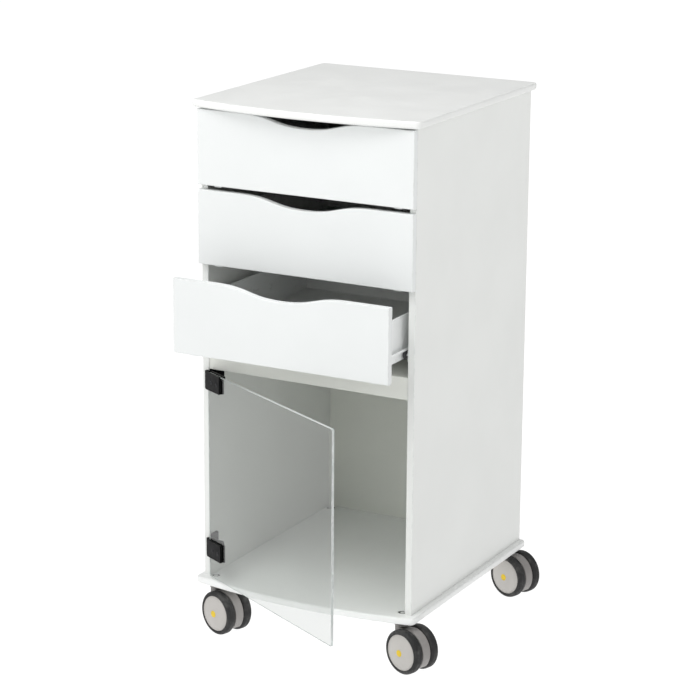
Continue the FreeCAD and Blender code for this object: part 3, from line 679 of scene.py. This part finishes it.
def pane_ring(y, inset):
    ring = []
    for cx, cz, r, a in outline:
        rr = max(r - inset, 0.00005)
        shift_x = math.copysign(max(0.0, inset - r), math.cos(a)) if r < inset else 0.0
        shift_z = math.copysign(max(0.0, inset - r), math.sin(a)) if r < inset else 0.0
        p = Vector((cx + rr * math.cos(a) - shift_x, y, cz + rr * math.sin(a) - shift_z))
        ring.append(bm.verts.new(swung @ p))
    return ring


rings = [pane_ring(low.y, arris), pane_ring(low.y + arris, 0.0)]
rings += [pane_ring(high.y - arris, 0.0), pane_ring(high.y, arris)]
bm.faces.new(rings[0]).material_index = 0
bm.faces.new(list(reversed(rings[3]))).material_index = 0
for a, b in zip(rings, rings[1:]):
    for i in range(len(a)):
        j = (i + 1) % len(a)
        bm.faces.new((a[i], a[j], b[j], b[i])).material_index = 1
pane_mats = [clear_sheet("clear_pane", pane_tint, 0.0), clear_edge("pane_edge")]
door = to_object("door_pane", bm, pane_mats, 25)
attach(door, "door")
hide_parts("door_glass")

for name in ("hinge_clamp_top", "hinge_clamp_bottom", "hinge_leaves"):
    cad_material(name, lacquer)
    bevelled(name, 0.35 * MM)

for word in ("top", "bottom"):
    low, high = closed_box("hinge_clamp_" + word)
    for k, inset in enumerate((9.5, 27.0)):
        at = swung @ Vector((high.x - inset * MM, low.y, (low.z + high.z) / 2))
        out = swung.to_3x3() @ Vector((0, -1, 0))
        m = along(at, out)
        profile = [(-0.0020, 0.0), (-0.0020, 0.0030), (0.0002, 0.0031), (0.0006, 0.0028), (0.0007, 0.0)]
        grub = lathe("clamp_%s_screw_%d" % (word, k), profile, m, [black_oxide], 36)
        hex_cut(grub, m @ Matrix.Translation((0, 0, 0.0007)), 0.0014, 0.0016)
        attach(grub, "door")

LEAF_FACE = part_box("side_panel_left")[1].x + 2.5 * MM
LEAF_HOLE_IN = 20.0 * MM
for word, (low, high) in zip(("lower", "upper"), sorted(islands("hinge_leaves"), key=lambda b: b[0].z)):
    for k, share in enumerate((0.2, 0.8)):
        at = (LEAF_FACE, FRONT_EDGE + LEAF_HOLE_IN, low.z + (high.z - low.z) * share)
        obj = screw("leaf_%s_screw_%d" % (word, k), along(at, (1, 0, 0)), 0.9, 0.006, black_oxide)
        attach(obj, "carcass")

# ------------------------------------------------------------------ stage
floor_mat = Mat("pale_floor")
floor_mat.set("Base Color", (0.12, 0.12, 0.12, 1.0))
floor_mat.set("Roughness", 0.9)
floor_mat.set("Emission Color", (1.0, 1.0, 1.0, 1.0))
floor_mat.set("Emission Strength", 0.99)
bm = bmesh.new()
bmesh.ops.create_grid(bm, x_segments=4, y_segments=4, size=40.0)
floor = to_object("floor", bm, [floor_mat.mat])

world = bpy.data.worlds.new("studio")
bpy.context.scene.world = world
world.use_nodes = True
world.node_tree.nodes["Background"].inputs["Color"].default_value = (1.0, 1.0, 1.0, 1.0)
world.node_tree.nodes["Background"].inputs["Strength"].default_value = 0.40


def softbox(name, at, target, size, power):
    light = bpy.data.lights.new(name, "AREA")
    light.shape = "RECTANGLE"
    light.size, light.size_y = size
    light.energy = power
    obj = bpy.data.objects.new(name, light)
    COL.objects.link(obj)
    direction = Vector(target) - Vector(at)
    obj.rotation_euler = direction.to_track_quat("-Z", "Y").to_euler()
    obj.location = at


softbox("key", (-0.9, -1.9, 3.2), (0, -0.2, 0.4), (2.4, 1.6), 48.0)
softbox("front", (-0.3, -2.5, 1.7), (0, 0, 0.25), (1.4, 0.8), 9.0)
softbox("side", (1.7, -0.5, 2.2), (0.21, 0, 0.8), (1.0, 1.0), 7.0)
softbox("over", (0.1, -0.4, 3.2), (0, 0, 0.5), (2.6, 2.0), 16.0)

scene = bpy.context.scene
scene.view_settings.view_transform = "Standard"
scene.view_settings.look = "None"

# ------------------------------------------------------------------ camera
YAW, PITCH, ROLL = math.radians(28.349), math.radians(-15.492), math.radians(0.388)
ahead = Vector((-math.sin(YAW) * math.cos(PITCH), math.cos(YAW) * math.cos(PITCH), math.sin(PITCH)))
right = Vector((math.cos(YAW), math.sin(YAW), 0.0))
up = right.cross(ahead)
right, up = right * math.cos(ROLL) + up * math.sin(ROLL), up * math.cos(ROLL) - right * math.sin(ROLL)
turn = Matrix((right, up, -ahead)).transposed().to_4x4()
turn.translation = Vector((2.0338, -3.8354, 1.7004))
lens = bpy.data.cameras.new("camera")
lens.sensor_width = 36.0
lens.lens = 2489.99 / 700.0 * 36.0
lens.clip_start = 0.05
lens.clip_end = 200.0
camera = bpy.data.objects.new("camera", lens)
camera.matrix_world = turn
COL.objects.link(camera)
scene.camera = camera

bpy.context.view_layer.update()
